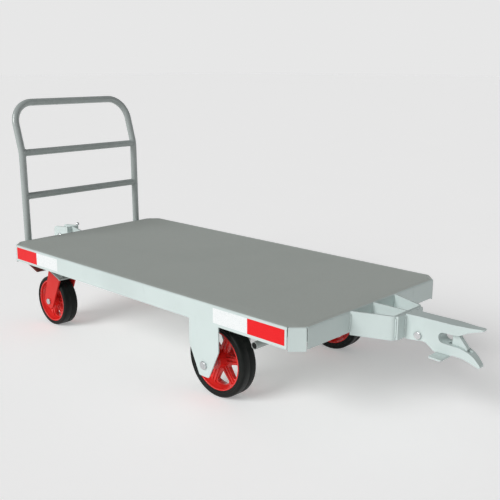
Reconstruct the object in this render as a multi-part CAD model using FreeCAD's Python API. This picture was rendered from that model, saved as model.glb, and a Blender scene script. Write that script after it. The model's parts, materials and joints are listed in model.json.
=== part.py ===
import FreeCAD, Part
import math
import os

# Tow-train platform cart: flat deck on two fixed wheels and two swivel castors,
# push handle at the rear, spring-latched tow jaw at the front, pin receiver behind.
# Axes: +X towards the tow jaw, +Z up, -Y is the right-hand side.
# The cart is drawn about the middle of the deck top and moved onto the floor at export.

# ---------------------------------------------------------------- driving dimensions (mm)
deck_length = 1600.0
deck_width = 790.0
corner_cut = 42.0            # 45 degree corner, along each side
skirt_height = 69.0
corner_drop = 6.0            # corner plates hang this much lower
sheet = 4.0                  # deck, skirt and ear plate
bend_radius = 6.0            # outside radius of the skirt's top edge
lip = 12.0                   # width of the bent-over edge around the deck sheet
seam = 4.0                   # gap between skirts and corner plates

fixed_wheel_dia = 260.0
fixed_wheel_width = 64.0
fixed_rim_dia = 211.0
spokes = 6
spoke_phase = 8.0            # first spoke above +X, degrees
axle_setback = 400.0         # front end of the deck to the fixed axle
wheel_clearance = 23.0       # fixed wheel to the rail above it
wheel_inset = 85.0           # deck side to the middle of a fixed wheel
axle_dia = 20.0
ear_width = 138.0
ear_tip_width = 44.0
ear_shoulder = 61.0          # above the axle, where the ear starts to taper
ear_below_axle = 40.0

castor_wheel_dia = 212.0
castor_wheel_width = 64.0
castor_rim_dia = 178.0
castor_setback = 210.0       # rear end of the deck to the swivel axis
castor_inset = 114.0         # deck side to the swivel axis
castor_trail = 50.0
castor_axle_r = 8.0
kingpin_r = 8.0
castor_bolt_r = 5.0
plate_bolt_x = 50.0          # castor plate bolts, half spacings
plate_bolt_y = 20.0
bolt_head_height = 5.0
race_r = 32.0                # raceway disc of the swivel head
race_thickness = 9.0
race_gap = 0.4               # above and below the raceway disc
crown_clearance = 23.0       # castor wheel to the middle of the fork crown
head_height = 40.0           # castor plate to the middle of the fork crown, at least
plate_thickness = 8.0        # castor plate
leg_thickness = 7.0
leg_gap = 4.0                # tyre side to fork leg
leg_top = 40.0               # half width of a leg at the crown
leg_foot = 32.0              # half width at the axle
leg_end = 27.0               # leg below the axle
crown_front = 44.0
crown_rear = -40.0
crown_t = 6.0
cheek_y = 26.0               # outer face of a cheek between raceway and crown
lug_y = 23.0                 # outer face of a pedal lug
head_plate = 6.0             # cheek and lug
pedal_pivot_setback = 58.0   # swivel axis to the pedal's pin
pedal_pivot_rise = 16.0      # above the middle of the crown
pedal_pin_r = 5.0
strap_width = 28.0           # pedal arm
tread_width = 76.0
tread_t = 5.0

rail_width = 60.0
rail_height = 60.0
tube_wall = 3.0
beam_width = 40.0
middle_beam_x = -80.0
rear_beam_setback = 60.0     # rear end of the deck to the rear beam
beam_ahead_of_tie = 65.0
bracket_thickness = 6.0      # inner bracket of a fixed wheel
spacer_r = 17.0
tie_clearance = 45.0         # fixed tyre to the tie tube
tie_z = -119.0
tie_r = 12.5
tie_wall = 2.0
tie_inset = 2.0              # tube end to the fixed tyre's outer side

handle_top = 597.0           # above the deck
handle_knee = 374.0          # where the uprights start to lean back
handle_low_bar = 187.0
handle_lean = 16.5           # degrees
handle_inset = 98.0          # deck side to the middle of an upright
handle_tube_dia = 30.0
handle_tube_wall = 2.0
bar_r = 14.5                 # the two bars are a little thinner than the hoop
knee_r = 90.0
clamp_heights = (-24.0, -54.0)
handle_corner_radius = 95.0

hitch_y = -17.5              # coupling centre line, a little to the right
hitch_mouth = 127.0          # half width of the bracket at the deck
hitch_nose = 79.0            # half width at its front
hitch_reach = 130.0
hitch_depth = 78.0
hitch_plate = 6.0
adapter_thickness = 8.0

jaw_length = 248.0           # adapter plate to jaw tip
jaw_root = 57.0              # thickness at the adapter plate
jaw_tip = 22.0               # thickness at the mouth
jaw_slot_dia = 33.0          # seat for the towing pin
jaw_slot_x = 129.0           # adapter plate to the middle of the seat
jaw_slot_z = -48.0
latch_thickness = 16.0
latch_side_gap = 0.75
latch_pin_r = 8.0
spring_r = 5.5
wire_r = 1.0
spring_turns = 5
spring_top = -18.2

receiver_reach = 210.0       # deck end to the rear of the cheeks
receiver_web = 98.0          # deck end to the receiver's web
receiver_width = 61.0
receiver_plate = 8.0
pin_dia = 25.0
pin_x = 160.0                # deck end to the pin
tape_thickness = 0.4
tape_height = 50.0
tape_length = 151.0
tape_drop = 9.0              # top of the deck to the tape
tape_setback = 52.5          # end of the deck to the tape
running = 0.05               # radial clearance of pins and axles that turn
gap = 0.5                    # side clearance of turning parts

# ---------------------------------------------------------------- derived
V = FreeCAD.Vector
half_l = deck_length / 2
half_w = deck_width / 2
front_x = half_l + hitch_reach + adapter_thickness       # face the jaw is welded to
rail_bottom = -sheet - rail_height
plate_z = rail_bottom - plate_thickness
deck_height = max(fixed_wheel_dia + wheel_clearance - rail_bottom,
                  castor_wheel_dia + crown_clearance + head_height - plate_z)
crown_depth = deck_height - castor_wheel_dia - crown_clearance
jaw_tip_x = front_x + jaw_length
rear_x = -half_l - receiver_reach
shift = V(-(jaw_tip_x + rear_x) / 2, 0, deck_height)

fixed_r = fixed_wheel_dia / 2
castor_r = castor_wheel_dia / 2
fixed_axle_x = half_l - axle_setback
fixed_axle_z = fixed_r - deck_height
castor_pivot_x = -half_l + castor_setback
castor_axle_z = castor_r - deck_height
wheel_y = half_w - wheel_inset
castor_y = half_w - castor_inset
castor_axle_x = castor_pivot_x - castor_trail
hub_length = fixed_wheel_width + 6
rail_y0 = castor_y - rail_width / 2                      # rails run over the castors
rail_y1 = castor_y + rail_width / 2
bracket_y = rail_y0                                      # outer face of the inner bracket
axle_r = axle_dia / 2
tube_r = handle_tube_dia / 2
handle_x = -half_l - tube_r - 6
handle_half_width = half_w - handle_inset
X, Y, Z = V(1, 0, 0), V(0, 1, 0), V(0, 0, 1)

os.makedirs("parts", exist_ok=True)


def save(name, *solids):
    """Move the piece onto the floor frame and write it as its own node."""
    shape = solids[0] if len(solids) == 1 else Part.makeCompound(list(solids))
    shape = shape.copy()
    shape.translate(shift)
    bad = [s for s in shape.Solids if not s.isValid() or s.Volume <= 0]
    if bad or not shape.Solids:
        print("check", name, len(shape.Solids), "solids")
    shape.exportStep("parts/" + name + ".step")
    b = shape.BoundBox
    print("%-20s %d  x %.1f..%.1f  y %.1f..%.1f  z %.1f..%.1f" % (
        name, len(shape.Solids), b.XMin, b.XMax, b.YMin, b.YMax, b.ZMin, b.ZMax))


def box(x0, x1, y0, y1, z0, z1):
    return Part.makeBox(x1 - x0, y1 - y0, z1 - z0, V(x0, y0, z0))


def rod(a, b, radius):
    """Round bar from point a to point b."""
    return Part.makeCylinder(radius, (b - a).Length, a, b - a)


def tube(a, b, radius, bore):
    return rod(a, b, radius).cut(rod(a, b, bore))


def hexagon(a, b, across_flats):
    """Hexagonal head or nut between a and b."""
    d = b - a
    side = Z if abs(d.z) < 0.5 * d.Length else X
    other = d.cross(side).normalize()
    r = across_flats / math.sqrt(3)
    turns = [math.radians(60 * i) for i in range(6)]
    pts = [a + side * (r * math.cos(t)) + other * (r * math.sin(t)) for t in turns]
    return Part.Face(Part.makePolygon(pts + pts[:1])).extrude(d)


def rounded_face(points, to3d):
    """Flat face from (u, v) or (u, v, corner radius) points."""
    n = len(points)
    corners = []
    for i in range(n):
        p = points[i]
        r = p[2] if len(p) > 2 else 0.0
        a, c = points[i - 1], points[(i + 1) % n]
        da, dc = (a[0] - p[0], a[1] - p[1]), (c[0] - p[0], c[1] - p[1])
        la, lc = math.hypot(*da), math.hypot(*dc)
        ua, uc = (da[0] / la, da[1] / la), (dc[0] / lc, dc[1] / lc)
        half = math.acos(max(-1.0, min(1.0, ua[0] * uc[0] + ua[1] * uc[1]))) / 2
        if r <= 0 or half > math.radians(89.5):
            corners.append(((p[0], p[1]),))
            continue
        t = r / math.tan(half)
        m = (ua[0] + uc[0], ua[1] + uc[1])
        lm = math.hypot(*m)
        k = r / math.sin(half) - r
        corners.append(((p[0] + ua[0] * t, p[1] + ua[1] * t),
                        (p[0] + m[0] / lm * k, p[1] + m[1] / lm * k),
                        (p[0] + uc[0] * t, p[1] + uc[1] * t)))
    edges = []
    for i in range(n):
        c = corners[i]
        if len(c) == 3:
            edges.append(Part.Arc(to3d(*c[0]), to3d(*c[1]), to3d(*c[2])).toShape())
        a, b = to3d(*c[-1]), to3d(*corners[(i + 1) % n][0])
        if (b - a).Length > 1e-6:
            edges.append(Part.LineSegment(a, b).toShape())
    return Part.Face(Part.Wire(edges))


def plate_xz(points, y0, y1):
    return rounded_face(points, lambda u, v: V(u, y0, v)).extrude(V(0, y1 - y0, 0))


def plate_xy(points, z0, z1):
    return rounded_face(points, lambda u, v: V(u, v, z0)).extrude(V(0, 0, z1 - z0))


def plate_yz(points, x0, x1):
    return rounded_face(points, lambda u, v: V(x0, u, v)).extrude(V(x1 - x0, 0, 0))


def turned_y(points):
    """Solid turned about the Y axis from (radius, y) points."""
    return rounded_face(points, lambda u, v: V(u, v, 0)).revolve(V(), Y, 360)


def moved(shape, x, y, z):
    s = shape.copy()
    s.translate(V(x, y, z))
    return s


def other_side(shape):
    return shape.mirror(V(), Y)


# ---------------------------------------------------------------- deck, skirts and corners
def octagon(inset):
    l, w = half_l - inset, half_w - inset
    c = corner_cut - inset * (2 - math.sqrt(2))
    return [(l, -w + c), (l, w - c), (l - c, w), (-l + c, w),
            (-l, w - c), (-l, -w + c), (-l + c, -w), (l - c, -w)]


deck = plate_xy(octagon(lip), -sheet, 0)
save("deck_sheet", deck.makeChamfer(1.5, [e for e in deck.Edges if abs(e.BoundBox.ZMin) < 1e-3]))


def edge_plate(i, height):
    """Bent plate along side i of the deck outline, mitred at both corners."""
    ring_pts = octagon(0)
    a, b = ring_pts[i], ring_pts[(i + 1) % 8]
    a, b = V(a[0], a[1], 0), V(b[0], b[1], 0)
    along = (b - a).normalize()
    inward = V(-along.y, along.x, 0)
    start = a - along * 10
    r, q = bend_radius, math.sqrt(0.5)

    def at(n, z):
        return start + inward * n + V(0, 0, z)

    ri = r - sheet
    wire = Part.Wire([
        Part.LineSegment(at(0, -height), at(0, -r)).toShape(),
        Part.Arc(at(0, -r), at(r - r * q, -r + r * q), at(r, 0)).toShape(),
        Part.LineSegment(at(r, 0), at(lip, 0)).toShape(),
        Part.LineSegment(at(lip, 0), at(lip, -sheet)).toShape(),
        Part.LineSegment(at(lip, -sheet), at(r, -sheet)).toShape(),
        Part.Arc(at(r, -sheet), at(r - ri * q, -r + ri * q), at(sheet, -r)).toShape(),
        Part.LineSegment(at(sheet, -r), at(sheet, -height)).toShape(),
        Part.LineSegment(at(sheet, -height), at(0, -height)).toShape()])
    body = Part.Face(wire).extrude(along * ((b - a).Length + 20))
    for corner, sign in ((a, 1), (b, -1)):
        turn = math.radians(sign * 67.5)
        bisector = V(along.x * math.cos(turn) - along.y * math.sin(turn),
                     along.x * math.sin(turn) + along.y * math.cos(turn), 0) * sign
        if bisector.dot(inward) < 0:
            bisector = bisector * -1
        side = V(bisector.y, -bisector.x, 0)
        if side.dot(along) * sign < 0:
            side = side * -1
        p = corner + side * (seam / 2) + V(0, 0, -400)
        pts = [p - bisector * 60, p + bisector * 60,
               p + bisector * 60 - side * 60, p - bisector * 60 - side * 60]
        body = body.cut(Part.Face(Part.makePolygon(pts + pts[:1])).extrude(V(0, 0, 500)))
    return body


ear_bottom = fixed_axle_z - ear_below_axle
ear_top = fixed_axle_z + ear_shoulder


def ear_outline(top):
    """Tapered plate that hangs from height top and carries the fixed axle."""
    wide, narrow = ear_width / 2, ear_tip_width / 2
    return [(fixed_axle_x - wide, top), (fixed_axle_x - wide, ear_top, 18),
            (fixed_axle_x - narrow, ear_bottom, 9), (fixed_axle_x + narrow, ear_bottom, 9),
            (fixed_axle_x + wide, ear_top, 18), (fixed_axle_x + wide, top)]


axle_hole = rod(V(fixed_axle_x, -half_w - 50, fixed_axle_z), V(fixed_axle_x, half_w + 50, fixed_axle_z),
                axle_r)

ear = plate_xz(ear_outline(-skirt_height + 20), -half_w, -half_w + sheet)
side_right = edge_plate(6, skirt_height).fuse(ear).cut(axle_hole).removeSplitter()
save("side_plate_right", side_right)
save("side_plate_left", other_side(side_right))
save("front_skirt", edge_plate(0, skirt_height))
save("rear_skirt", edge_plate(4, skirt_height))
for name, i in (("corner_front_left", 1), ("corner_rear_left", 3),
                ("corner_rear_right", 5), ("corner_front_right", 7)):
    save(name, edge_plate(i, skirt_height + corner_drop))

# ---------------------------------------------------------------- frame under the deck
rail_l = half_l - bend_radius
rail = box(-rail_l, rail_l, rail_y0, rail_y1, rail_bottom, -sheet)
rail = rail.cut(box(-rail_l, rail_l, rail_y0 + tube_wall, rail_y1 - tube_wall,
                    rail_bottom + tube_wall, -sheet - tube_wall))
pivot = V(castor_pivot_x, castor_y, 0)
bolt_places = [pivot + V(u * plate_bolt_x, v * plate_bolt_y, 0) for u in (-1, 1) for v in (-1, 1)]
for place, radius in [(at, castor_bolt_r) for at in bolt_places] + [(pivot, kingpin_r + 10)]:
    rail = rail.cut(rod(place + Z * (rail_bottom - 1), place + Z * (rail_bottom + tube_wall + 1), radius))
save("frame_rail_left", rail)
save("frame_rail_right", other_side(rail))


def cross_beam(x):
    half = beam_width / 2
    beam = box(x - half, x + half, -rail_y0, rail_y0, rail_bottom, -sheet)
    return beam.cut(box(x - half + tube_wall, x + half - tube_wall, -rail_y0, rail_y0,
                        rail_bottom + tube_wall, -sheet - tube_wall))


tie_x = fixed_axle_x + fixed_r + tie_clearance
save("cross_beam_front", cross_beam(tie_x + beam_ahead_of_tie))
save("cross_beam_middle", cross_beam(middle_beam_x))
save("cross_beam_rear", cross_beam(-half_l + rear_beam_setback))

bracket_in = bracket_y - bracket_thickness
bracket = plate_xz(ear_outline(-sheet - 6), bracket_in, bracket_y)
hub_in = wheel_y - hub_length / 2
hub_out = wheel_y + hub_length / 2
boss = rod(V(fixed_axle_x, bracket_y - 1, fixed_axle_z), V(fixed_axle_x, hub_in - gap, fixed_axle_z),
           spacer_r)
bracket = bracket.fuse(boss).cut(axle_hole).removeSplitter()
save("inner_bracket_left", bracket)
save("inner_bracket_right", other_side(bracket))

tie_end = wheel_y + fixed_wheel_width / 2 - tie_inset
save("tie_tube", tube(V(tie_x, -tie_end, tie_z), V(tie_x, tie_end, tie_z), tie_r, tie_r - tie_wall))
hanger_half, hanger_foot = tie_r + 7.5, tie_z - tie_r - 3.5
hanger = plate_xz([(tie_x - hanger_half, -sheet - 12), (tie_x - hanger_half, hanger_foot, 10),
                   (tie_x + hanger_half, hanger_foot, 10), (tie_x + hanger_half, -sheet - 12)],
                  bracket_in, bracket_y)
hanger = hanger.cut(rod(V(tie_x, 0, tie_z), V(tie_x, half_w, tie_z), tie_r))
save("tie_hangers", hanger, other_side(hanger))


# ---------------------------------------------------------------- wheels
def wheel(wheel_dia, rim_dia, width, hub_dia, hub_len, bore):
    """Cast spoked rim and its tyre, both about the Y axis at the origin."""
    ro, h = rim_dia / 2, width / 2
    flange, wall = 5.0, 7.0
    barrel = turned_y([(ro, -h + 2, 1.5), (ro, h - 2, 1.5), (ro - flange, h - 2, 1.5), (ro - wall, h - 10, 2),
                       (ro - wall - 6, 10, 3), (ro - wall - 6, -10, 3),
                       (ro - wall, -h + 10, 2), (ro - flange, -h + 2, 1.5)])
    rin = ro - wall - 5
    hub = turned_y([(0, -hub_len / 2), (hub_dia / 2 - 3, -hub_len / 2, 1), (hub_dia / 2 + 3, -12, 3),
                    (hub_dia / 2 + 3, 12, 3), (hub_dia / 2 - 3, hub_len / 2, 1), (0, hub_len / 2)])
    web = turned_y([(0, -7), (rin + 2, -7), (rin + 2, 7), (0, 7)])
    window_in, window_out = hub_dia / 2 + 12, rin - 6
    step = 360 / spokes
    half_out = step / 2 - math.degrees(math.asin(12.5 / window_out))
    side = (window_out * math.cos(math.radians(half_out)), window_out * math.sin(math.radians(half_out)))
    body = web
    for i in range(spokes):
        window = plate_xz([(window_in, -5, 4), (side[0], -side[1], 9), (window_out * 1.06, 0, 40),
                           (side[0], side[1], 9), (window_in, 5, 4)], -20, 20)
        window.rotate(V(), Y, step * (i + 0.5) - spoke_phase)
        body = body.cut(window)
    ribs = []
    for i in range(spokes):
        for v in (-6.5, 6.5):
            rib = plate_yz([(-11, v - 2.5, 1), (11, v - 2.5, 1), (11, v + 2.5, 1), (-11, v + 2.5, 1)],
                           hub_dia / 2 - 4, rin + 2)
            rib.rotate(V(), Y, step * i - spoke_phase)
            ribs.append(rib)
    body = body.fuse([hub, barrel] + ribs)
    body = body.cut(rod(V(0, -hub_len, 0), V(0, hub_len, 0), bore)).removeSplitter()
    rt = wheel_dia / 2
    crown = turned_y([(ro, -h, 2), (rt - 2.5, -h, 7), (rt, -h + 12, 10), (rt, h - 12, 10), (rt - 2.5, h, 7),
                      (ro, h, 2)])
    return body, crown


fixed_rim, fixed_tyre = wheel(fixed_wheel_dia, fixed_rim_dia, fixed_wheel_width, 60, hub_length,
                              axle_r + running)
castor_hub = castor_wheel_width + 2 * leg_gap - 2 * gap
castor_rim, castor_tyre = wheel(castor_wheel_dia, castor_rim_dia, castor_wheel_width, 46, castor_hub,
                                castor_axle_r + running)
for side, s in (("left", 1), ("right", -1)):
    save("front_rim_" + side, moved(fixed_rim, fixed_axle_x, s * wheel_y, fixed_axle_z))
    save("front_tyre_" + side, moved(fixed_tyre, fixed_axle_x, s * wheel_y, fixed_axle_z))
    save("castor_rim_" + side, moved(castor_rim, castor_axle_x, s * castor_y, castor_axle_z))
    save("castor_tyre_" + side, moved(castor_tyre, castor_axle_x, s * castor_y, castor_axle_z))

# fixed axles: bolt head outside the ear, nut behind the inner bracket
axle = rod(V(fixed_axle_x, bracket_in - 18, fixed_axle_z), V(fixed_axle_x, half_w + 1, fixed_axle_z), axle_r)
head = rod(V(fixed_axle_x, half_w, fixed_axle_z), V(fixed_axle_x, half_w + 7, fixed_axle_z), axle_r + 4)
head = head.makeFillet(2.5, [e for e in head.Edges if abs(e.BoundBox.YMin - half_w - 7) < 1e-3])
axle = axle.fuse(head).removeSplitter()
save("front_axle_bolts", axle, other_side(axle))
nut = hexagon(V(fixed_axle_x, bracket_in, fixed_axle_z), V(fixed_axle_x, bracket_in - 16, fixed_axle_z),
              3 * axle_r)
nut = nut.cut(axle_hole)
save("front_axle_nuts", nut, other_side(nut))
spacer = tube(V(fixed_axle_x, hub_out + gap, fixed_axle_z), V(fixed_axle_x, half_w - sheet, fixed_axle_z),
              spacer_r, axle_r)
save("front_axle_spacers", spacer, other_side(spacer))

# ---------------------------------------------------------------- castors, drawn on the left side
axle_drop = -crown_depth - castor_axle_z
lean = math.degrees(math.atan2(castor_trail, axle_drop))   # fork leans back by this angle
leg_in = castor_wheel_width / 2 + leg_gap
leg_out = leg_in + leg_thickness
reach = math.hypot(castor_trail, axle_drop)                # crown to axle along the leg


def leaned(shape):
    """From the fork's own upright frame (crown middle at the origin) to its place."""
    s = shape.copy()
    s.rotate(V(), Y, lean)
    s.translate(V(castor_pivot_x, castor_y, -crown_depth))
    return s


castor_plate = plate_xy([(castor_pivot_x + u * (plate_bolt_x + 15), castor_y + v * (plate_bolt_y + 16), 8)
                         for u, v in ((-1, -1), (1, -1), (1, 1), (-1, 1))], plate_z, rail_bottom)
for place, radius in [(at, castor_bolt_r) for at in bolt_places] + [(pivot, kingpin_r)]:
    castor_plate = castor_plate.cut(rod(place + Z * (plate_z - 1), place + Z * (rail_bottom + 1), radius))
save("castor_plate_left", castor_plate)
save("castor_plate_right", other_side(castor_plate))

bolts = []
for at in bolt_places:
    bolt = rod(at + Z * (plate_z - 1), at + Z * (rail_bottom + tube_wall + 9), castor_bolt_r)
    bolt_head = hexagon(at + Z * plate_z, at + Z * (plate_z - bolt_head_height), 3.2 * castor_bolt_r)
    bolt = bolt.fuse(bolt_head).removeSplitter()
    bolts += [bolt, other_side(bolt)]
save("castor_plate_bolts", *bolts)

race_top = plate_z - race_gap
race_bottom = race_top - race_thickness
pin_head_top = race_bottom - race_gap
kingpin = rod(pivot + Z * (pin_head_top - 6), pivot + Z * (rail_bottom + 12), kingpin_r)
kingpin = kingpin.fuse(rod(pivot + Z * (pin_head_top - 7), pivot + Z * pin_head_top, kingpin_r + 5))
kingpin = kingpin.fuse(hexagon(pivot + Z * rail_bottom, pivot + Z * (rail_bottom + 10), 3 * kingpin_r))
kingpin = kingpin.removeSplitter()
save("castor_kingpins", kingpin, other_side(kingpin))

# swivel head: raceway disc, two cheeks and the sloping crown plate in one weldment
head = rod(pivot + Z * race_bottom, pivot + Z * race_top, race_r)
crown = leaned(box(crown_rear, crown_front, -leg_out, leg_out, -crown_t, 0))
cheek = box(castor_pivot_x - race_r + 2, castor_pivot_x + race_r - 2, castor_y + cheek_y - head_plate,
            castor_y + cheek_y, -crown_depth - 20, race_bottom + 1)
below = leaned(box(-150, 150, -80, 80, -200, -1))
cheek = cheek.cut(below)
head = head.fuse([crown, cheek, moved(cheek, 0, head_plate - 2 * cheek_y, 0)])
head = head.cut(rod(pivot + Z * (race_bottom - 1), pivot + Z * (race_top + 1), kingpin_r + running))
pedal_pivot_x, pedal_pivot_z = castor_pivot_x - pedal_pivot_setback, pedal_pivot_rise - crown_depth
lug_top = plate_z - bolt_head_height - 2                 # passes under the plate's bolt heads
lug = plate_xz([(castor_pivot_x - 24, race_bottom), (castor_pivot_x - 24, lug_top),
                (pedal_pivot_x - 8, lug_top, 6), (pedal_pivot_x - 8, pedal_pivot_z - 9, 7),
                (pedal_pivot_x + 14, pedal_pivot_z - 9, 4)],
               castor_y - lug_y, castor_y - lug_y + head_plate)
lug_axis = V(pedal_pivot_x, castor_y, pedal_pivot_z)
lug_hole = rod(lug_axis - Y * 40, lug_axis + Y * 40, pedal_pin_r)
far_lug = moved(lug, 0, 2 * lug_y - head_plate, 0)
head = head.fuse([lug.cut(below), far_lug.cut(below)]).cut(lug_hole).removeSplitter()
save("castor_head_left", head)
save("castor_head_right", other_side(head))

leg = plate_xz([(-leg_top, -crown_t, 3), (leg_top + 2, -crown_t, 3), (leg_foot, -reach, 30),
                (leg_foot - 4, -reach - leg_end, leg_end - 4), (4 - leg_foot, -reach - leg_end, leg_end - 4),
                (-leg_foot, -reach, 30)], leg_in, leg_out)
leg = leg.cut(rod(V(0, 0, -reach), V(0, 100, -reach), castor_axle_r))
leg_near = leaned(leg)
leg_far = leaned(leg.mirror(V(), Y))
save("castor_fork_left", leg_near, leg_far)
save("castor_fork_right", other_side(leg_near), other_side(leg_far))

cx = V(castor_axle_x, castor_y, castor_axle_z)
castor_axle = rod(cx - Y * (leg_out + 13), cx + Y * (leg_out + 1), castor_axle_r)
head_disc = rod(cx + Y * leg_out, cx + Y * (leg_out + 6), castor_axle_r + 4.5)
head_disc = head_disc.makeFillet(2, [e for e in head_disc.Edges
                                     if abs(e.BoundBox.YMin - castor_y - leg_out - 6) < 1e-3])
castor_axle = castor_axle.fuse(head_disc).removeSplitter()
save("castor_axle_left", castor_axle)
save("castor_axle_right", other_side(castor_axle))
castor_nut = hexagon(cx - Y * leg_out, cx - Y * (leg_out + 11), 3 * castor_axle_r)
castor_nut = castor_nut.cut(rod(cx - Y * 80, cx, castor_axle_r))
save("castor_nut_left", castor_nut)
save("castor_nut_right", other_side(castor_nut))

# brake pedal: strap on a pin between the head's lugs, tread plate sloping down to the tyre
pedal_in_x, pedal_in_z = castor_axle_x - castor_r + 15, -crown_depth - 19
pedal_out_x, pedal_out_z = castor_axle_x - castor_r - 52, -crown_depth + 4
arm = plate_xz([(pedal_pivot_x + 9, pedal_pivot_z + 6, 5), (pedal_pivot_x - 9, pedal_pivot_z + 8, 5),
                (pedal_in_x - 28, pedal_pivot_z + 1, 5), (pedal_in_x - 28, pedal_in_z + 12, 2),
                (pedal_in_x - 8, pedal_in_z + 6, 2), (pedal_in_x, pedal_pivot_z - 12, 6),
                (pedal_pivot_x + 4, pedal_pivot_z - 9, 6)],
               castor_y - strap_width / 2, castor_y + strap_width / 2)
slope = math.atan2(pedal_out_z - pedal_in_z, pedal_in_x - pedal_out_x)
dx, dz = tread_t * math.sin(slope), tread_t * math.cos(slope)
tread = plate_xz([(pedal_in_x, pedal_in_z), (pedal_in_x + dx, pedal_in_z + dz),
                  (pedal_out_x + dx, pedal_out_z + dz), (pedal_out_x, pedal_out_z)],
                 castor_y - tread_width / 2, castor_y + tread_width / 2)
pedal = arm.fuse(tread)
pedal_pin = rod(lug_axis - Y * lug_y, lug_axis + Y * lug_y, pedal_pin_r - running)
pedal = pedal.fuse(pedal_pin).removeSplitter()
save("brake_pedal_left", pedal)
save("brake_pedal_right", other_side(pedal))

# ---------------------------------------------------------------- push handle
lean_r = math.radians(handle_lean)
up = V(-math.sin(lean_r), 0, math.cos(lean_r))
foot_z = -skirt_height + 6
knee = V(handle_x, 0, handle_knee)
top_run = (handle_top - tube_r - handle_knee) / math.cos(lean_r)
knee_t = knee_r * math.tan(lean_r / 2)


def hoop(radius):
    w, r = handle_half_width, handle_corner_radius
    top = knee + up * top_run
    rc = r * (1 - math.sqrt(0.5))
    bend_c = knee - Z * knee_t - X * knee_r
    bend_mid = bend_c + V(math.cos(lean_r / 2), 0, math.sin(lean_r / 2)) * knee_r
    pts = []
    for s in (-1, 1):
        y = V(0, s * w, 0)
        pts.append([V(handle_x, s * w, foot_z), knee - Z * knee_t + y, bend_mid + y, knee + up * knee_t + y,
                    top - up * r + y, top - up * rc + y - Y * (s * rc), top + y - Y * (s * r)])
    a, b = pts
    wire = Part.Wire([
        Part.LineSegment(a[0], a[1]).toShape(), Part.Arc(a[1], a[2], a[3]).toShape(),
        Part.LineSegment(a[3], a[4]).toShape(), Part.Arc(a[4], a[5], a[6]).toShape(),
        Part.LineSegment(a[6], b[6]).toShape(),
        Part.Arc(b[6], b[5], b[4]).toShape(), Part.LineSegment(b[4], b[3]).toShape(),
        Part.Arc(b[3], b[2], b[1]).toShape(), Part.LineSegment(b[1], b[0]).toShape()])
    section = Part.Wire([Part.makeCircle(radius, a[0], Z)])
    return wire.makePipeShell([section], True, False)


outer = hoop(tube_r)
save("handle_hoop", outer.cut(hoop(tube_r - handle_tube_wall)))
for name, z in (("handle_bar_lower", handle_low_bar), ("handle_bar_upper", handle_knee)):
    bar = tube(V(handle_x, -handle_half_width, z), V(handle_x, handle_half_width, z),
               bar_r, bar_r - handle_tube_wall)
    save(name, bar.cut(outer))
straps = []
clamp_half = tube_r + 11
for s in (-1, 1):
    for z in clamp_heights:
        y = s * handle_half_width
        block = plate_xy([(-half_l, y - clamp_half), (-half_l, y + clamp_half),
                          (handle_x - tube_r - 5, y + clamp_half, 12),
                          (handle_x - tube_r - 5, y - clamp_half, 12)], z - 8, z + 8)
        straps.append(block.cut(rod(V(handle_x, y, z - 9), V(handle_x, y, z + 9), tube_r)))
save("handle_clamps", *straps)

# ---------------------------------------------------------------- front hitch bracket and jaw
nose_x = half_l + hitch_reach


def tapered(y_in, x_in, r):
    return [(half_l, hitch_y - hitch_mouth + y_in), (nose_x - x_in, hitch_y - hitch_nose + y_in, r),
            (nose_x - x_in, hitch_y + hitch_nose - y_in, r), (half_l, hitch_y + hitch_mouth - y_in)]


skin = hitch_plate * 1.07
save("hitch_bracket", plate_xy(tapered(0, 0, 18), -hitch_depth, 0).cut(
    plate_xy(tapered(skin, hitch_plate, 12), -hitch_depth - 1, 1)))
save("hitch_divider", box(half_l, nose_x - hitch_plate, hitch_y - hitch_plate / 2, hitch_y + hitch_plate / 2,
                          -hitch_depth, 0))
adapter_half = hitch_nose - 8
adapter = [(hitch_y - adapter_half, -hitch_depth + 1, 4), (hitch_y + adapter_half, -hitch_depth + 1, 4),
           (hitch_y + adapter_half, -1, 4), (hitch_y - adapter_half, -1, 4)]
save("adapter_plate", plate_yz(adapter, nose_x, nose_x + adapter_thickness))

slot_r = jaw_slot_dia / 2
sx, sz = front_x + jaw_slot_x, jaw_slot_z
upper_lip = sz + slot_r                                  # roof of the pin seat
lower_lip = sz - slot_r
tip = jaw_tip_x
mouth = tip - sx
jaw_side = [(front_x, 0), (tip - 30, 0, 40), (tip, 2, 1.2), (tip, -3, 1.2), (tip - 40, -15, 30),
            (sx + 0.39 * mouth, upper_lip, 12),
            (sx - slot_r, upper_lip, slot_r), (sx - slot_r, lower_lip, slot_r), (sx + 8, lower_lip),
            (sx + 0.44 * mouth, lower_lip - 3, 60), (sx + 0.76 * mouth, lower_lip - 18, 60),
            (tip - 4, lower_lip - 46, 3), (tip - 4, lower_lip - 55, 3),
            (sx + 0.52 * mouth, lower_lip - 34, 50), (sx + 0.27 * mouth, lower_lip - 31, 20),
            (sx + 4, lower_lip - 40, 30), (sx - 30, lower_lip - 33, 30), (sx - 60, lower_lip - 11, 24),
            (front_x, -hitch_depth - 3)]
jaw = plate_xz(jaw_side, hitch_y - 60, hitch_y + 60)
waist = jaw_root / 2 - 3.5
plan = [(front_x, hitch_y - jaw_root / 2), (front_x + 50, hitch_y - waist, 60),
        (sx + 30, hitch_y - waist, 80), (tip, hitch_y - jaw_tip / 2, 8),
        (tip, hitch_y + jaw_tip / 2, 8), (sx + 30, hitch_y + waist, 80),
        (front_x + 50, hitch_y + waist, 60), (front_x, hitch_y + jaw_root / 2)]
jaw = jaw.common(plate_xy(plan, -200, 50))

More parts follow.
